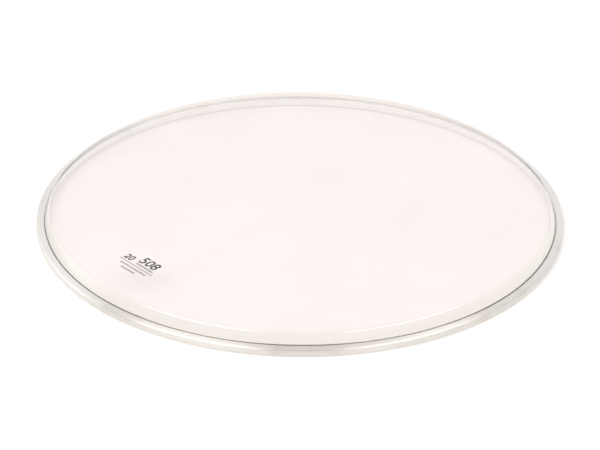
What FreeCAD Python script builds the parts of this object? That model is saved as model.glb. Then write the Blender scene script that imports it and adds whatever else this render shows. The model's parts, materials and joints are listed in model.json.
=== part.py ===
import FreeCAD, Part
import math
import os

# Clear head for a drum, lying film up. Millimetres and degrees, +Z up.
# The origin is the centre of the hoop's underside, on the plane that the head rests on.
# A shaped plastic film is wrapped round a locking ring, bedded in resin in a channel of aluminium sheet,
# and trapped there by the channel's outer wall, which is rolled over the top.

# Drum that the head fits
drum_diameter = 508.0
shell_clearance = 1.8  # between the drum's shell and the hoop, on the radius

# Hoop: one strip of sheet, bent to a channel and rolled to a ring
hoop_width = 9.4
hoop_height = 8.4
sheet_thickness = 0.9
inside_bend_radius = 1.3
sheet_edge_radius = 0.25
slot_width = 0.7  # from the inner wall to the edge of the rolled-over lip
inner_wall_rise = 0.5  # edge of the inner wall above the top of the lip

# Butt seam where the strip's ends meet
seam_azimuth = 221.1
seam_gap = 0.25
seam_groove_depth = 0.12  # how far the weld lies below the sheet's surface

# Film
film_thickness = 0.25
collar_height = 12.0  # playing surface above the top of the hoop
collar_slope = 62.0
crown_radius = 4.0  # bend from the flat field to the slope
hip_radius = 3.0  # bend from the slope to the skirt in the slot
film_wall_gap = 0.2  # skirt to the inner wall
hem_wall_gap = 1.2  # turned-up hem to the outer wall
hem_drop = 1.6  # edge of the hem below the top of the locking ring

# Locking ring inside the hem
ring_clearance = 0.1  # to the film round it
ring_headroom = 0.3  # to the lip over it
ring_corner_radius = 1.2
ring_end_gap = 2.0

# Resin bead
resin_under_film = 0.7
resin_shrinkage = 0.05  # gap that the cured bead leaves at the channel and at the film
hem_freeboard = 1.0  # edge of the hem above the resin's surface

# A full ring is turned in this many equal sectors, so that its faces are alike all round
ring_sectors = 8

origin = FreeCAD.Vector(0, 0, 0)
axis = FreeCAD.Vector(0, 0, 1)
full_turn = 360.0
quarter_turn = full_turn / 4

# Radii and heights of the hoop
inner_radius = drum_diameter / 2 + shell_clearance
outer_radius = inner_radius + hoop_width
cavity_inner_radius = inner_radius + sheet_thickness
cavity_outer_radius = outer_radius - sheet_thickness
lip_radius = cavity_inner_radius + slot_width
lip_underside = hoop_height - sheet_thickness
inner_wall_top = hoop_height + inner_wall_rise
outside_bend_radius = inside_bend_radius + sheet_thickness
middle_radius = (inner_radius + outer_radius) / 2

# Radii and heights of the film's middle surface, and of the ring in its hem
skirt_radius = cavity_inner_radius + film_wall_gap + film_thickness / 2
hem_radius = cavity_outer_radius - hem_wall_gap - film_thickness / 2
hem_level = sheet_thickness + resin_under_film + film_thickness / 2
ring_inset = film_thickness / 2 + ring_clearance
ring_top = lip_underside - ring_headroom
hem_edge = ring_top - hem_drop
hem_bend_radius = ring_corner_radius + ring_inset
film_level = hoop_height + collar_height - film_thickness / 2
hip_level = inner_wall_top + hip_radius * math.tan(math.radians(quarter_turn - collar_slope) / 2)
crown_corner_radius = skirt_radius - (film_level - hip_level) / math.tan(math.radians(collar_slope))
field_radius = crown_corner_radius - crown_radius * math.tan(math.radians(collar_slope) / 2)
resin_top = hem_edge - hem_freeboard


def rounded_section(corners):
    """Face in the XZ plane with corners (radius, height, corner radius), each rounded by a tangent arc."""
    points = [FreeCAD.Vector(radius, 0, height) for radius, height, _ in corners]
    sides = [after - before for before, after in zip(points, points[1:] + points[:1])]
    half_angles = [(-sides[index - 1]).getAngle(side) / 2 for index, side in enumerate(sides)]
    wanted = [corner[2] / math.tan(half_angle) for corner, half_angle in zip(corners, half_angles)]
    # A side that is too short for both of its corners is shared in proportion to what they ask for
    shares = [side.Length / max(side.Length, here + beyond)
              for side, here, beyond in zip(sides, wanted, wanted[1:] + wanted[:1])]
    edges = []
    stretches = []
    for index, point in enumerate(points):
        half_angle = half_angles[index]
        tangent = wanted[index] * min(shares[index - 1], shares[index])
        to_last = (-sides[index - 1]).normalize()
        to_next = FreeCAD.Vector(sides[index]).normalize()
        start = point + to_last * tangent
        end = point + to_next * tangent
        stretches.append((start, end))
        if tangent > 0:
            inward = (to_last + to_next).normalize()
            arc_radius = tangent * math.tan(half_angle)
            middle = point + inward * (arc_radius / math.sin(half_angle) - arc_radius)
            edges.append(Part.Arc(start, middle, end).toShape())
    for index, (_, end) in enumerate(stretches):
        next_start = stretches[(index + 1) % len(stretches)][0]
        if not end.isEqual(next_start, FreeCAD.Base.Precision.confusion()):
            edges.append(Part.LineSegment(end, next_start).toShape())
    return Part.Face(Part.Wire(Part.__sortEdges__(edges)))


def path_beside(corners, distance):
    """Path of rounded corners moved to the left of its direction, with its arcs kept concentric."""
    points = [FreeCAD.Vector(radius, 0, height) for radius, height, _ in corners]
    directions = [(after - before).normalize() for before, after in zip(points, points[1:])]
    lefts = [FreeCAD.Vector(-direction.z, 0, direction.x) for direction in directions]
    moved = []
    for index, (_, _, corner_radius) in enumerate(corners):
        before = lefts[max(index - 1, 0)]
        after = lefts[min(index, len(lefts) - 1)]
        shift = (before + after) * (distance / (1 + before.dot(after)))
        left_turn = before.x * after.z - before.z * after.x
        side_radius = corner_radius - distance * math.copysign(1, left_turn) if corner_radius else 0
        point = points[index] + shift
        moved.append((point.x, point.z, side_radius))
    return moved


def turned(section, start_azimuth, sweep):
    """Ring of a section turned about the head's axis, from an azimuth through a sweep, in equal sectors."""
    sectors = math.ceil(ring_sectors * sweep / full_turn)
    step = sweep / sectors
    first = section.rotated(origin, axis, start_azimuth).revolve(origin, axis, step)
    others = [first.rotated(origin, axis, step * count) for count in range(1, sectors)]
    return first.multiFuse(others).Solids[0] if others else first


def gap_angle(gap):
    """Angle that a gap takes at the middle of the hoop's width."""
    return math.degrees(gap / middle_radius)


def channel_section(inset):
    """Section of the channel's sheet, with its outside surface moved in by an inset."""
    edge_radius = sheet_edge_radius
    outside = outside_bend_radius - inset
    inside = inside_bend_radius
    return rounded_section([
        (inner_radius + inset, inner_wall_top - inset, edge_radius),
        (inner_radius + inset, inset, outside),
        (outer_radius - inset, inset, outside),
        (outer_radius - inset, hoop_height - inset, outside),
        (lip_radius + inset, hoop_height - inset, edge_radius),
        (lip_radius + inset, lip_underside, edge_radius),
        (cavity_outer_radius, lip_underside, inside),
        (cavity_outer_radius, sheet_thickness, inside),
        (cavity_inner_radius, sheet_thickness, inside),
        (cavity_inner_radius, inner_wall_top - inset, edge_radius),
    ])


def hoop_channel():
    """Rolled channel, open at the butt seam."""
    gap = gap_angle(seam_gap)
    return turned(channel_section(0), seam_azimuth + gap / 2, full_turn - gap)


def seam_weld():
    """Weld that closes the seam and lies a little below the sheet's surface."""
    gap = gap_angle(seam_gap)
    return turned(channel_section(seam_groove_depth), seam_azimuth - gap / 2, gap)


def film():
    """Flat field, collar, skirt in the slot and hem under the locking ring, in one sheet."""
    path = [
        (field_radius, film_level, 0),
        (crown_corner_radius, film_level, crown_radius),
        (skirt_radius, hip_level, hip_radius),
        (skirt_radius, hem_level, hem_bend_radius),
        (hem_radius, hem_level, hem_bend_radius),
        (hem_radius, hem_edge, 0),
    ]
    upper_side = path_beside(path, film_thickness / 2)
    lower_side = path_beside(path, -film_thickness / 2)
    collar = turned(rounded_section(upper_side + lower_side[::-1]), 0, full_turn)
    field_underside = FreeCAD.Vector(0, 0, film_level - film_thickness / 2)
    field = Part.makeCylinder(field_radius, film_thickness, field_underside, axis)
    return collar.fuse(field).Solids[0]


def locking_ring():
    """Strip in the hem, sprung in as a ring with a gap between its ends, opposite the hoop's seam."""
    inner = skirt_radius + ring_inset
    outer = hem_radius - ring_inset
    bottom = hem_level + ring_inset
    section = rounded_section([
        (inner, bottom, ring_corner_radius),
        (outer, bottom, ring_corner_radius),
        (outer, ring_top, ring_corner_radius),
        (inner, ring_top, ring_corner_radius),
    ])
    gap = gap_angle(ring_end_gap)
    return turned(section, seam_azimuth + full_turn / 2 + gap / 2, full_turn - gap)


def resin_bead():
    """Resin between the channel and the hem, level all round."""
    inner = cavity_inner_radius + resin_shrinkage
    outer = cavity_outer_radius - resin_shrinkage
    bottom = sheet_thickness + resin_shrinkage
    bottom_bend = inside_bend_radius - resin_shrinkage
    film_offset = film_thickness / 2 + resin_shrinkage
    hem_outer = hem_radius + film_offset
    hem_bottom = hem_level - film_offset
    skirt_inner = skirt_radius - film_offset
    hem_outside_bend = hem_bend_radius + film_offset
    section = rounded_section([
        (inner, resin_top, 0),
        (inner, bottom, bottom_bend),
        (outer, bottom, bottom_bend),
        (outer, resin_top, 0),
        (hem_outer, resin_top, 0),
        (hem_outer, hem_bottom, hem_outside_bend),
        (skirt_inner, hem_bottom, hem_outside_bend),
        (skirt_inner, resin_top, 0),
    ])
    return turned(section, 0, full_turn)


os.makedirs("parts", exist_ok=True)
for make in (hoop_channel, seam_weld, film, locking_ring, resin_bead):
    shape = make()
    shape.exportStep("parts/" + make.__name__ + ".step")
    print(make.__name__, shape.ShapeType, "valid" if shape.isValid() else "invalid", round(shape.Volume, 1), "mm3")
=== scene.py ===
import json
import math

import bmesh
import bpy
from mathutils import Matrix, Vector


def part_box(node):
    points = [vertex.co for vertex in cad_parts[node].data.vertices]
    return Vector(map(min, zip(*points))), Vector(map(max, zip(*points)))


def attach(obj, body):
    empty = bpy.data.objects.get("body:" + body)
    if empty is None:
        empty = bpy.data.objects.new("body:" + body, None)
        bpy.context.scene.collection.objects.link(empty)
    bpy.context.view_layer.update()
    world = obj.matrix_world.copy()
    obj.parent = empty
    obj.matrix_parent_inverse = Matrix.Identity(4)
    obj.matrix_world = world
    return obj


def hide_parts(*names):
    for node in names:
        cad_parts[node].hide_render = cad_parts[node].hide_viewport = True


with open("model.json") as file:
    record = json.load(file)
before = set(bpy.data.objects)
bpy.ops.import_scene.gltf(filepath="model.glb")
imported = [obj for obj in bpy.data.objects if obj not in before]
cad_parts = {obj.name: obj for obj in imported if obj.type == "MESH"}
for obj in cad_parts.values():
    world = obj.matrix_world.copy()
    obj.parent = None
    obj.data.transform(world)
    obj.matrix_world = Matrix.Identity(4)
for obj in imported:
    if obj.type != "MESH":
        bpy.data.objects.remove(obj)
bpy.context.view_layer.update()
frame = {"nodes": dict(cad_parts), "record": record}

# Hoop
# One strip of satin aluminium sheet, bent to a channel, rolled to a ring and butted at a seam on the left.
# Its outer wall is rolled over the top and stops short of the inner wall, which leaves a slot for the film.

metre = 1000  # millimetres, as the record gives its sizes
mounts = {mount["name"]: mount for mount in frame["record"]["mounts"]}
hoop_inner_radius = mounts["shell_bore"]["dims"]["r_mm"] / metre
hoop_outer_radius = mounts["counter_hoop_rim"]["dims"]["r_mm"] / metre
hoop_top = mounts["hoop_top"]["pos_m"][2]
sheet_thickness = 0.0009
sheet_bend_radius = 0.0013
sheet_edge_radius = 0.00025
slot_width = 0.0007
inner_wall_rise = 0.0005
seam_azimuth = math.radians(221.1)
seam_gap = 0.00025

inner_wall_top = hoop_top + inner_wall_rise
cavity_inner_radius = hoop_inner_radius + sheet_thickness
cavity_outer_radius = hoop_outer_radius - sheet_thickness
lip_radius = cavity_inner_radius + slot_width
lip_underside = hoop_top - sheet_thickness
sheet_outer_bend = sheet_bend_radius + sheet_thickness
seam_angle = seam_gap * 2 / (hoop_inner_radius + hoop_outer_radius)

full_turn = 2 * math.pi
steps_round = 360
hoop_bend_points = 10
ring_merge_distance = 1e-6

lip_lean = math.radians(12)  # outwards, from the rolling: the lip is turned flat, and only its shading leans
# The one sheet is given lit and shaded copies of its colour: painted light on the inside wall, painted shade
# on the lip, and more painted shade on the outer wall.
aluminium_inside_painted_light = (0.93, 0.93, 0.93, 1)
aluminium_lip_painted_shade = (0.925, 0.885, 0.85, 1)
aluminium_outside_painted_shade = (0.78, 0.745, 0.71, 1)
aluminium_dull = (0.70, 0.67, 0.64, 1)
draw_lines = (5200, 9, 1)  # noise cells per metre across the lines, and per radian along them
draw_streaks = (1300, 2.5, 1)
draw_line_strength = 0.35
draw_line_depth = 0.00004
draw_line_gloss = 1.0  # how far highlights are drawn out across the lines
draw_line_turn = 0.25
handling_marks = 55  # noise cells per metre
mark_range = (0.45, 0.75)  # of the noise, over which the marks come in
streak_dulling = 0.2
mark_dulling = 0.1
sheet_roughness = 0.12
lip_roughness = 0.16
line_roughness = 0.1
mark_roughness = 0.08


class Wire:
    """A socket of a node tree. Arithmetic on it adds Math nodes, and node() adds any other node."""

    def __init__(self, tree, socket=None):
        self.tree = tree
        self.socket = socket

    def node(self, kind, settings=None, sockets=None, output=0):
        """Adds a node, sets it up, fills its sockets with values or links, and gives one of its outputs."""
        made = self.tree.nodes.new(kind)
        for name, value in (settings or {}).items():
            setattr(made, name, value)
        for name, value in (sockets or {}).items():
            if isinstance(value, Wire):
                self.tree.links.new(value.socket, made.inputs[name])
            else:
                made.inputs[name].default_value = value
        return Wire(self.tree, made.outputs[output]) if len(made.outputs) else None

    def calculated(self, operation, *values):
        """Result of a Math node on any values."""
        return self.node("ShaderNodeMath", {"operation": operation}, dict(enumerate(values)))

    def math(self, operation, *others):
        """Result of a Math node on this value, and on others if the operation takes them."""
        return self.calculated(operation, self, *others)

    def mix(self, low, high):
        """Colour between two, by this value. Sockets 6 and 7 and output 2 of a Mix node are its colours."""
        return self.node("ShaderNodeMix", {"data_type": "RGBA"}, {0: self, 6: low, 7: high}, output=2)

    def between(self, low, high):
        """0 at low and 1 at high, eased in between and level beyond them."""
        return self.node("ShaderNodeMapRange", {"interpolation_type": "SMOOTHSTEP"},
                         {"Value": self, "From Min": low, "From Max": high})

    def place(self):
        """Place on the piece, in the head's own frame."""
        return self.node("ShaderNodeTexCoord", output="Object")

    def stretched(self, scale):
        """Vector times a scale for each axis."""
        return self.node("ShaderNodeVectorMath", {"operation": "MULTIPLY"}, {0: self, 1: scale})

    def from_axis(self):
        """Distance of this place from the head's axis."""
        flat = self.stretched((1, 1, 0))
        return self.node("ShaderNodeVectorMath", {"operation": "LENGTH"}, {0: flat}, output="Value")

    def noise(self, scale=1.0, detail=2.0, roughness=0.5):
        """Soft noise of about 0 to 1 at this place."""
        sizes = {"Vector": self, "Scale": scale, "Detail": detail, "Roughness": roughness}
        return self.node("ShaderNodeTexNoise", {}, sizes)

    def bump(self, strength, depth, **below):
        """Normal of a surface that this height raises, over the Normal below it if one is given."""
        sockets = {"Strength": strength, "Distance": depth, "Height": self, **below}
        return self.node("ShaderNodeBump", {}, sockets)

    def surface(self, sockets):
        """Ends a material in one Principled surface."""
        surface = self.node("ShaderNodeBsdfPrincipled", {}, sockets)
        self.node("ShaderNodeOutputMaterial", {}, {"Surface": surface})

    def __add__(self, other):
        return self.math("ADD", other)

    def __radd__(self, other):
        return self.calculated("ADD", other, self)

    def __sub__(self, other):
        return self.math("SUBTRACT", other)

    def __mul__(self, other):
        return self.math("MULTIPLY", other)

    def __rmul__(self, other):
        return self.calculated("MULTIPLY", other, self)

    def __truediv__(self, other):
        return self.math("DIVIDE", other)

    def __mod__(self, other):
        return self.math("MODULO", other)


def new_finish(name):
    """An empty material, and the wire that its nodes are added from."""
    finish = bpy.data.materials.new(name)
    finish.use_nodes = True
    finish.node_tree.nodes.clear()
    return finish, Wire(finish.node_tree)


def turned_ring_tree():
    """Tree that rounds the corners of a section and turns it about the Z axis."""
    tree = bpy.data.node_groups.new("turned ring", "GeometryNodeTree")
    inputs = (("Section", "NodeSocketGeometry"), ("Corner Points", "NodeSocketInt"),
              ("Closing Columns", "NodeSocketInt"), ("Steps Round", "NodeSocketInt"),
              ("Start", "NodeSocketFloat"), ("Sweep", "NodeSocketFloat"), ("Finish", "NodeSocketMaterial"))
    for name, kind in inputs:
        tree.interface.new_socket(name, in_out="INPUT", socket_type=kind)
    tree.interface.new_socket("Ring", in_out="OUTPUT", socket_type="NodeSocketGeometry")
    section, corner_points, closing, steps, start, sweep, finish = (
        Wire(tree).node("NodeGroupInput", output=name) for name, _ in inputs)

    line = section.node("GeometryNodeMeshToCurve", {}, {"Mesh": section})
    rounding = section.node(
        "GeometryNodeInputNamedAttribute", {"data_type": "FLOAT"}, {"Name": "corner_radius"})
    line = line.node("GeometryNodeFilletCurve", {"mode": "POLY"},
                     {"Curve": line, "Count": corner_points, "Radius": rounding, "Limit Radius": True})
    points = line.node("GeometryNodeAttributeDomainSize", {"component": "CURVE"}, {"Geometry": line})

    # A flat grid is wrapped to the ring: a column for each point of the section, a row for each step round
    rows = steps + 1
    grid = section.node("GeometryNodeMeshGrid", {}, {"Vertices X": points + closing, "Vertices Y": rows})
    index = section.node("GeometryNodeInputIndex")
    column = (index / rows).math("FLOOR")
    step = index - column * rows
    point = column % points
    place = section.node("GeometryNodeInputPosition")
    place = line.node("GeometryNodeSampleIndex", {"data_type": "FLOAT_VECTOR"},
                      {"Geometry": line, "Value": place, "Index": point})
    run = section.node("GeometryNodeSplineParameter", output="Length")
    run = line.node("GeometryNodeSampleIndex", {"data_type": "FLOAT"},
                    {"Geometry": line, "Value": run, "Index": point})
    azimuth = start + sweep * step / steps
    place = place.node(
        "ShaderNodeVectorRotate", {"rotation_type": "Z_AXIS"}, {"Vector": place, "Angle": azimuth})
    unrolled = run.node("ShaderNodeCombineXYZ", {}, {"X": run, "Y": azimuth})
    unrolled = run.node("GeometryNodeFieldOnDomain", {"data_type": "FLOAT_VECTOR", "domain": "POINT"},
                        {"Value": unrolled})

    ring = grid.node("GeometryNodeStoreNamedAttribute", {"data_type": "FLOAT2", "domain": "CORNER"},
                     {"Geometry": grid, "Name": "UVMap", "Value": unrolled})
    ring = ring.node("GeometryNodeSetPosition", {}, {"Geometry": ring, "Position": place})
    ring = ring.node("GeometryNodeMergeByDistance", {}, {"Geometry": ring, "Distance": ring_merge_distance})
    ring = ring.node("GeometryNodeSetShadeSmooth", {}, {"Geometry": ring, "Shade Smooth": True})
    ring = ring.node("GeometryNodeRealizeInstances", {}, {"Geometry": ring})
    ring = ring.node("GeometryNodeSetMaterial", {}, {"Geometry": ring, "Material": finish})
    ring.node("NodeGroupOutput", {}, {"Ring": ring})
    return tree


turned_ring = turned_ring_tree()


def added(name, data):
    """New object of the scene, made of some data."""
    piece = bpy.data.objects.new(name, data)
    bpy.context.scene.collection.objects.link(piece)
    return piece


def turned_piece(name, corners, finish, bend_points, start=0.0, sweep=full_turn, closed=True, thickness=0):
    """Ring turned from corners (radius, height, corner radius), closed or as a line with a thickness."""
    section = bpy.data.meshes.new(name)
    edges = [(index, index + 1) for index in range(len(corners) - 1)]
    if closed:
        edges.append((len(corners) - 1, 0))
    section.from_pydata([(radius, 0, height) for radius, height, _ in corners], edges, [])
    section.attributes.new("corner_radius", "FLOAT", "POINT")
    for index, (_, _, corner_radius) in enumerate(corners):
        section.attributes["corner_radius"].data[index].value = corner_radius
    piece = added(name, section)
    turning = piece.modifiers.new("turning", "NODES")
    turning.node_group = turned_ring
    sizes = {"Corner Points": bend_points, "Closing Columns": int(closed), "Steps Round": steps_round,
             "Start": start, "Sweep": sweep, "Finish": finish}
    for item in turned_ring.interface.items_tree:
        if item.in_out == "INPUT" and item.name in sizes:
            turning[item.identifier] = sizes[item.name]
    if thickness:
        solidify = piece.modifiers.new("thickness", "SOLIDIFY")
        solidify.thickness = thickness
        solidify.offset = 0
        solidify.use_even_offset = True
    evaluated = piece.evaluated_get(bpy.context.evaluated_depsgraph_get())
    piece.data = bpy.data.meshes.new_from_object(evaluated)
    piece.data.name = name
    piece.modifiers.clear()

    # The cut ends of a ring that isn't a full turn are closed by flat, sharp-edged faces
    faces = bmesh.new()
    faces.from_mesh(piece.data)
    for end in bmesh.ops.holes_fill(faces, edges=faces.edges)["faces"]:
        end.smooth = False
        for edge in end.edges:
            edge.smooth = False
    bmesh.ops.recalc_face_normals(faces, faces=faces.faces)
    faces.to_mesh(piece.data)
    faces.free()
    return piece


def satin_aluminium():
    """Bright rolled sheet: fine draw lines round the hoop, faint handling marks, a lip that leans, and
    painted light and shade: the inside wall lighter, the lip and the outer wall darker and warmer.
    """
    finish, start = new_finish("satin aluminium")
    unrolled = start.node("ShaderNodeUVMap", {"uv_map": "UVMap"})
    place = start.place()
    lines = unrolled.stretched(draw_lines).noise(detail=3.0, roughness=0.6)
    streaks = unrolled.stretched(draw_streaks).noise()
    marks = place.noise(handling_marks, detail=4.0, roughness=0.6).between(*mark_range)
    radius = place.from_axis()
    on_lip = radius.between(cavity_inner_radius, lip_radius)
    # Painted light and shade by place on the one sheet: lighter inside, darker and warmer on the lip and the
    # outer wall.
    outside = radius.between(hoop_outer_radius - sheet_outer_bend / 2, hoop_outer_radius)
    colour = outside.mix(on_lip.mix(aluminium_inside_painted_light, aluminium_lip_painted_shade), aluminium_outside_painted_shade)
    colour = (streaks * streak_dulling + marks * mark_dulling).mix(colour, aluminium_dull)
    roughness = sheet_roughness + on_lip * lip_roughness + lines * line_roughness + marks * mark_roughness
    falling = radius.math("MINIMUM", hoop_outer_radius - sheet_outer_bend) * -math.tan(lip_lean)
    slope = falling.bump(strength=1.0, depth=1.0)
    relief = lines.bump(draw_line_strength, draw_line_depth, Normal=slope)
    start.surface({
        "Base Color": colour, "Metallic": 1.0, "Roughness": roughness, "Normal": relief,
        "Anisotropic": draw_line_gloss, "Anisotropic Rotation": draw_line_turn})
    return finish


hoop = turned_piece("hoop", [
    (cavity_outer_radius, sheet_thickness, sheet_bend_radius),
    (cavity_inner_radius, sheet_thickness, sheet_bend_radius),
    (cavity_inner_radius, inner_wall_top, sheet_edge_radius),
    (hoop_inner_radius, inner_wall_top, sheet_edge_radius),
    (hoop_inner_radius, 0, sheet_outer_bend),
    (hoop_outer_radius, 0, sheet_outer_bend),
    (hoop_outer_radius, hoop_top, sheet_outer_bend),
    (lip_radius, hoop_top, sheet_edge_radius),
    (lip_radius, lip_underside, sheet_edge_radius),
    (cavity_outer_radius, lip_underside, sheet_bend_radius),
], satin_aluminium(), hoop_bend_points, start=seam_azimuth + seam_angle / 2, sweep=full_turn - seam_angle)
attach(hoop, "root")
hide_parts("hoop_channel")

# Seam weld
# The bead of filler aluminium that closes the butt seam, dressed off a little below the sheet's surface.
# It stays as dull and grainy as it cooled.

weld_grey = (0.74, 0.71, 0.68, 1)
weld_soot = (0.56, 0.53, 0.50, 1)
weld_grain = 2500  # noise cells per metre
weld_grain_strength = 0.6
weld_grain_depth = 0.00008
soot_patches = 700
soot_range = (0.4, 0.65)
weld_roughness = 0.35
grain_roughness = 0.2


def dressed_weld():
    """Dull filler metal with a coarse grain and some soot."""
    finish, start = new_finish("dressed weld")
    place = start.place()
    grain = place.noise(weld_grain, detail=3.0, roughness=0.6)
    colour = place.noise(soot_patches).between(*soot_range).mix(weld_grey, weld_soot)
    start.surface({
        "Base Color": colour, "Metallic": 1.0, "Roughness": weld_roughness + grain * grain_roughness,
        "Normal": grain.bump(weld_grain_strength, weld_grain_depth)})
    return finish


def dress(node, finish):
    """Gives a carried-over node its finish."""
    mesh = frame["nodes"][node].data
    mesh.materials.clear()
    mesh.materials.append(finish)


dress("seam_weld", dressed_weld())

# Resin bead
# Casting resin, poured into the bottom of the channel round the film's hem.
# It cures to a clear amber and holds the hem down.

resin_amber = (0.55, 0.40, 0.20, 1)
resin_pale = (0.68, 0.56, 0.36, 1)
resin_clouds = 120  # noise cells per metre
resin_bubbles = 1400
bubble_range = (0.62, 0.72)
bubble_strength = 0.3
bubble_depth = 0.0001
bubble_paleness = 0.2
resin_roughness = 0.15
cloud_roughness = 0.15


def cured_resin():
    """Glossy amber casting with cloudy patches and small bubbles."""
    finish, start = new_finish("cured resin")
    place = start.place()
    clouds = place.noise(resin_clouds, detail=3.0)
    bubbles = place.noise(resin_bubbles, detail=1.0).between(*bubble_range)
    paleness = clouds * (1 - bubble_paleness) + bubbles * bubble_paleness
    start.surface({
        "Base Color": paleness.mix(resin_amber, resin_pale),
        "Roughness": resin_roughness + clouds * cloud_roughness,
        "Normal": bubbles.bump(bubble_strength, bubble_depth)})
    return finish


dress("resin_bead", cured_resin())

# Locking ring
# A black plastic strip, sprung into the film's hem as a split ring.
# The hoop's rolled-over lip keeps it down, and only its shoulder shows, deep in the slot.

strip_black = (0.034, 0.029, 0.026, 1)
strip_grey = (0.066, 0.058, 0.051, 1)
strip_patches = 90  # noise cells per metre
strip_patch_range = (0.4, 0.7)
strip_mottle = 900
mottle_strength = 0.25
mottle_depth = 0.00005
strip_roughness = 0.45
mottle_roughness = 0.2


def extruded_plastic():
    """Matt black plastic with a fine mottle from the extruder."""
    finish, start = new_finish("extruded plastic")
    place = start.place()
    mottle = place.noise(strip_mottle, detail=4.0, roughness=0.6)
    colour = place.noise(strip_patches).between(*strip_patch_range).mix(strip_black, strip_grey)
    start.surface({
        "Base Color": colour, "Roughness": strip_roughness + mottle * mottle_roughness,
        "Normal": mottle.bump(mottle_strength, mottle_depth)})
    return finish


dress("locking_ring", extruded_plastic())

# Film
# One sheet of clear polyester, pressed hot to a flat field with a steep collar.
# Its edge goes down the slot, round the locking ring and up again as a hem, so the hoop traps it.

film_low, film_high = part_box("film")
film_thickness = 0.00025
collar_slope = math.radians(62)
crown_radius = 0.004
hip_radius = 0.003
film_wall_gap = 0.0002
hem_wall_gap = 0.0012
hem_drop = 0.0016
ring_corner_radius = 0.0012
ring_clearance = 0.0001
ring_headroom = 0.0003
field_shares = (0, 0.25, 0.5, 0.75)  # circles of points on the flat field
crown_lead_share = 0.1
film_bend_points = 14

film_top = film_high.z
film_level = film_top - film_thickness / 2
skirt_radius = cavity_inner_radius + film_wall_gap + film_thickness / 2
hem_radius = cavity_outer_radius - hem_wall_gap - film_thickness / 2
hem_level = film_low.z + film_thickness / 2
hem_bend_radius = ring_corner_radius + ring_clearance + film_thickness / 2
hem_edge = lip_underside - ring_headroom - hem_drop
hip_level = inner_wall_top + hip_radius * math.tan((full_turn / 4 - collar_slope) / 2)
crown_corner_radius = skirt_radius - (film_level - hip_level) / math.tan(collar_slope)
field_radius = crown_corner_radius - crown_radius * math.tan(collar_slope / 2)

film_clear = (0.968, 0.949, 0.942, 1)
film_haze = (0.958, 0.939, 0.932, 1)
film_drawn = (0.936, 0.927, 0.912, 1)
film_shine = (1, 1, 1, 1)
film_shine_drawn = (0.86, 0.83, 0.80, 1)
mirrored_straight_on = 0.053
glancing_power = 5.0
haze_patches = 14  # noise cells per metre
haze_range = (0.35, 0.75)
scuff_streaks = (420, 60, 60)
scuff_range = (0.66, 0.74)
film_waves = 9
wave_strength = 0.05
wave_depth = 0.002
drawn_margin = 0.002
film_roughness = 0.03
haze_roughness = 0.02
scuff_roughness = 0.05
drawn_roughness = 0.12


def clear_polyester():
    """Clear film that mirrors more at a glancing view, lightly hazy and scuffed, duller on the collar."""
    finish, start = new_finish("clear polyester")
    place = start.place()
    haze = place.noise(haze_patches, detail=4.0, roughness=0.6).between(*haze_range)
    scuffs = place.stretched(scuff_streaks).noise().between(*scuff_range)
    waves = place.noise(film_waves, detail=1.0)
    drawn = place.from_axis().between(field_radius - drawn_margin, skirt_radius)
    clear, hazy, thinned = (
        start.node("ShaderNodeBsdfTransparent", {}, {"Color": tint})
        for tint in (film_clear, film_haze, film_drawn))
    through = start.node("ShaderNodeMixShader", {}, {0: haze, 1: clear, 2: hazy})
    through = start.node("ShaderNodeMixShader", {}, {0: drawn, 1: through, 2: thinned})
    roughness = film_roughness + haze * haze_roughness + scuffs * scuff_roughness + drawn * drawn_roughness
    shine = start.node("ShaderNodeBsdfPrincipled", {}, {
        "Base Color": drawn.mix(film_shine, film_shine_drawn), "Metallic": 1.0, "Roughness": roughness,
        "Normal": waves.bump(wave_strength, wave_depth)})
    glancing = start.node("ShaderNodeLayerWeight", {}, {"Blend": 0.5}, output="Facing")
    mirrored = mirrored_straight_on + (1 - mirrored_straight_on) * glancing.math("POWER", glancing_power)
    surface = start.node("ShaderNodeMixShader", {}, {0: mirrored, 1: through, 2: shine})
    start.node("ShaderNodeOutputMaterial", {}, {"Surface": surface})
    return finish


film = turned_piece("clear_film", [
    *((field_radius * share, film_level, 0) for share in field_shares),
    (field_radius - crown_radius * crown_lead_share, film_level, 0),
    (crown_corner_radius, film_level, crown_radius),
    (skirt_radius, hip_level, hip_radius),
    (skirt_radius, hem_level, hem_bend_radius),
    (hem_radius, hem_level, hem_bend_radius),
    (hem_radius, hem_edge, 0),
], clear_polyester(), film_bend_points, closed=False, thickness=film_thickness)
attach(film, "root")
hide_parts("film")

# Print
# A plain size mark in dark ink, screen printed on the film near the front left of the collar:
# the drum's diameter in inches and in millimetres, a thin rule and rows of evenly spaced ticks.

inch = 25.4  # millimetres
drum_inches = round(hoop_inner_radius * 2 * metre / inch)
drum_millimetres = round(drum_inches * inch)
print_start = Vector((-0.1756, -0.1123))
print_end = Vector((-0.1433, -0.1490))
print_gap = 0.00001
print_merge_distance = 1e-7
ink_thickness = 0.00003
stroke_swell = 0.0003
rule_width = 0.0008
inches_size = 0.0118
inches_place = (0.0006, 0.0034)
millimetres_size = 0.0165
millimetres_place = (0.0175, 0.0082)
tick_rows = ((0.020, 0.045, 0.0034), (0.007, 0.044, -0.0056), (0.014, 0.036, -0.0112))  # start, end, bottom
tick_pitch = 0.0021
tick_width = 0.0010
tick_length = 0.0026

ink_black = (0.048, 0.041, 0.037, 1)
ink_thin = (0.09, 0.078, 0.07, 1)
ink_patches = 900  # noise cells per metre
thin_ink_range = (0.5, 0.75)
ink_relief_strength = 0.2
ink_relief_depth = 0.00002
ink_roughness = 0.4
thin_ink_roughness = 0.2


def screen_ink():
    """Dark ink, a little thinner in places where the screen left less of it."""
    finish, start = new_finish("screen ink")
    thin = start.place().noise(ink_patches, detail=3.0, roughness=0.6).between(*thin_ink_range)
    start.surface({
        "Base Color": thin.mix(ink_black, ink_thin), "Roughness": ink_roughness + thin * thin_ink_roughness,
        "Normal": thin.bump(ink_relief_strength, ink_relief_depth)})
    return finish


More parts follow.
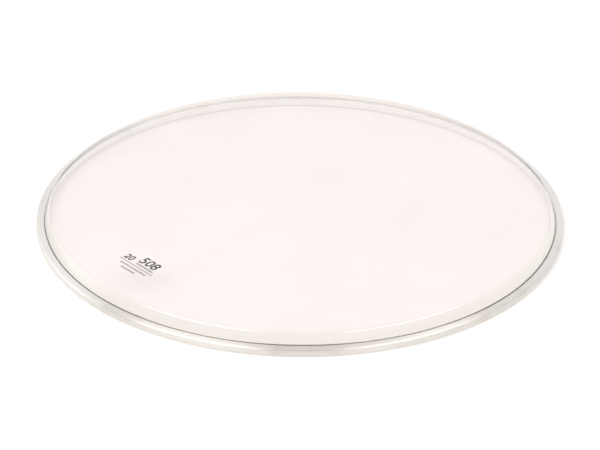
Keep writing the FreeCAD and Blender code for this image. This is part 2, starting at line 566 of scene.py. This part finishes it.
def add_bar(ink, left, bottom, width, height):
    """Adds one printed bar, laid out in the print's own plane, with the rule along X."""
    size = Matrix.Diagonal((width, height, ink_thickness, 1))
    middle = Matrix.Translation((left + width / 2, bottom + height / 2, ink_thickness / 2))
    bmesh.ops.create_cube(ink, size=1, matrix=middle @ size)


def add_number(ink, number, size, place):
    """Adds a printed number, with its lower left corner at a place in the print's own plane."""
    numerals = bpy.data.curves.new("numerals", "FONT")
    numerals.body = str(number)
    numerals.size = size
    numerals.offset = stroke_swell
    numerals.extrude = ink_thickness / 2
    holder = bpy.data.objects.new("numerals", numerals)
    printed = bpy.data.meshes.new_from_object(holder)
    printed.transform(Matrix.Translation((*place, ink_thickness / 2)))
    ink.from_mesh(printed)
    bpy.data.objects.remove(holder)


def size_mark():
    """Mesh of the numbers, the rule and the rows of ticks, set on the film."""
    ink = bmesh.new()
    rule = print_end - print_start
    add_bar(ink, 0, 0, rule.length, rule_width)
    for row_start, row_end, bottom in tick_rows:
        for count in range(round((row_end - row_start) / tick_pitch)):
            add_bar(ink, row_start + count * tick_pitch, bottom, tick_width, tick_length)
    add_number(ink, drum_inches, inches_size, inches_place)
    add_number(ink, drum_millimetres, millimetres_size, millimetres_place)
    bmesh.ops.remove_doubles(ink, verts=ink.verts, dist=print_merge_distance)
    turned = Matrix.Rotation(math.atan2(rule.y, rule.x), 4, "Z")
    on_film = Matrix.Translation((*print_start, film_top + print_gap))
    bmesh.ops.transform(ink, verts=ink.verts, matrix=on_film @ turned)
    mesh = bpy.data.meshes.new("size_mark")
    ink.to_mesh(mesh)
    ink.free()
    return mesh


mark = added("size_mark", size_mark())
mark.data.materials.append(screen_ink())
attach(mark, "root")

# Table and light
# The head lies on a plain white table in a white room.
# A wide soft oval lamp hangs at the front left, and a long narrow one at the front right.

table_size = 30.0
table_drop = 0.00002
table_white = (0.70, 0.70, 0.70, 1)
table_glow = (0.298, 0.291, 0.287, 1)
table_shine = (0.36, 0.36, 0.36, 1)

left_white = (1.75, 1.75, 1.75, 1)
rear_white = (0.975, 0.975, 0.98, 1)
horizon_cool = (2.5, 2.95, 3.3, 1)
right_grey = (0.78, 0.77, 0.755, 1)
front_warm = (0.72, 0.66, 0.61, 1)
ceiling_grey = (0.87, 0.86, 0.85, 1)

# Where one tone of the room passes into the next, as parts of a unit direction across, away or up
horizon_sides = (0.12, 0.32)
horizon_top = (0.14, 0.26)
left_corner_side = (-0.95, -0.5)
left_corner_front = (0.2, -0.05)
right_side = (0.2, 0.9)
front_side = (-0.5, 0.3)
ceiling_side = (0.6, 0.8)

lamp_height = 3.0
lamp_ellipse_share = math.pi / 4  # of the box round it
lamps = (  # name, shape, watts per square metre, near end, far end and width
    ("left lamp", "ELLIPSE", 8.8, (-1.35, -4.0), (-3.1, -0.2), 2.3),
    ("right lamp", "RECTANGLE", 10.8, (1.8, -4.8), (2.55, 0.35), 0.9),
)


def white_table():
    """White surface that looks white by itself and still takes the head's shadow."""
    finish, start = new_finish("white table")
    seen, mirrored, through = (
        start.node("ShaderNodeLightPath", output=ray)
        for ray in ("Is Camera Ray", "Is Glossy Ray", "Is Transmission Ray"))
    shows = seen.math("MAXIMUM", mirrored).math("MAXIMUM", through)
    lit = start.node("ShaderNodeBsdfDiffuse", {}, {"Color": table_white})
    glowing = start.node("ShaderNodeEmission", {}, {
        "Color": seen.mix(table_shine, table_glow), "Strength": shows})
    surface = start.node("ShaderNodeAddShader", {}, {0: lit, 1: glowing})
    start.node("ShaderNodeOutputMaterial", {}, {"Surface": surface})
    return finish


def white_room():
    """Room with a bright left rear corner, a low cool light behind, and a dimmer right, front and top."""
    room = bpy.data.worlds.new("white room")
    room.use_nodes = True
    room.node_tree.nodes.clear()
    start = Wire(room.node_tree)
    towards = start.node("ShaderNodeTexCoord", output="Generated")
    across, away, up = (
        start.node("ShaderNodeSeparateXYZ", {}, {"Vector": towards}, output=axis)
        for axis in ("X", "Y", "Z"))
    off_horizon = across.math("ABSOLUTE").between(*horizon_sides).math("MAXIMUM", up.between(*horizon_top))
    walls = off_horizon.mix(horizon_cool, rear_white)
    off_corner = across.between(*left_corner_side).math("MAXIMUM", away.between(*left_corner_front))
    walls = off_corner.mix(left_white, walls)
    walls = across.between(*right_side).mix(walls, right_grey)
    walls = away.between(*front_side).mix(front_warm, walls)
    colour = up.between(*ceiling_side).mix(walls, ceiling_grey)
    surface = start.node("ShaderNodeBackground", {}, {"Color": colour})
    start.node("ShaderNodeOutputWorld", {}, {"Surface": surface})
    return room


half = table_size / 2
table_corners = [(-half, -half, 0), (half, -half, 0), (half, half, 0), (-half, half, 0)]
table_mesh = bpy.data.meshes.new("table")
table_mesh.from_pydata(table_corners, [], [(0, 1, 2, 3)])
table_mesh.materials.append(white_table())
table = added("table", table_mesh)
table.location.z = -table_drop
bpy.context.scene.world = white_room()

for name, shape, power, near_end, far_end, width in lamps:
    near = Vector((*near_end, lamp_height))
    far = Vector((*far_end, lamp_height))
    middle = (near + far) / 2
    length = (far - near).length
    area = width * length * (lamp_ellipse_share if shape == "ELLIPSE" else 1)
    light = bpy.data.lights.new(name, "AREA")
    light.shape = shape
    light.size = width
    light.size_y = length
    light.energy = power * area
    long_axis = (far - near).normalized()
    back = (middle - middle.project(long_axis)).normalized()
    facing = Matrix((long_axis.cross(back), long_axis, back)).transposed()
    added(name, light).matrix_world = Matrix.Translation(middle) @ facing.to_4x4()

# Camera
# A long lens in front of the head, which looks down on the film.
# It is rolled by half a degree.

camera_target = Vector((-0.0002, -0.0069, -0.0006))
camera_elevation = math.radians(28.97)
camera_distance = 3.356
camera_roll = math.radians(0.47)
camera_lens = 200
camera_sensor = 36

camera_data = bpy.data.cameras.new("camera")
camera_data.lens = camera_lens
camera_data.sensor_width = camera_sensor
camera = added("camera", camera_data)
outward = Vector((0, -math.cos(camera_elevation), math.sin(camera_elevation)))
aim = outward.to_track_quat("Z", "Y").to_matrix() @ Matrix.Rotation(camera_roll, 3, "Z")
camera.matrix_world = Matrix.Translation(camera_target + outward * camera_distance) @ aim.to_4x4()
bpy.context.scene.camera = camera
bpy.context.scene.view_settings.view_transform = "Standard"
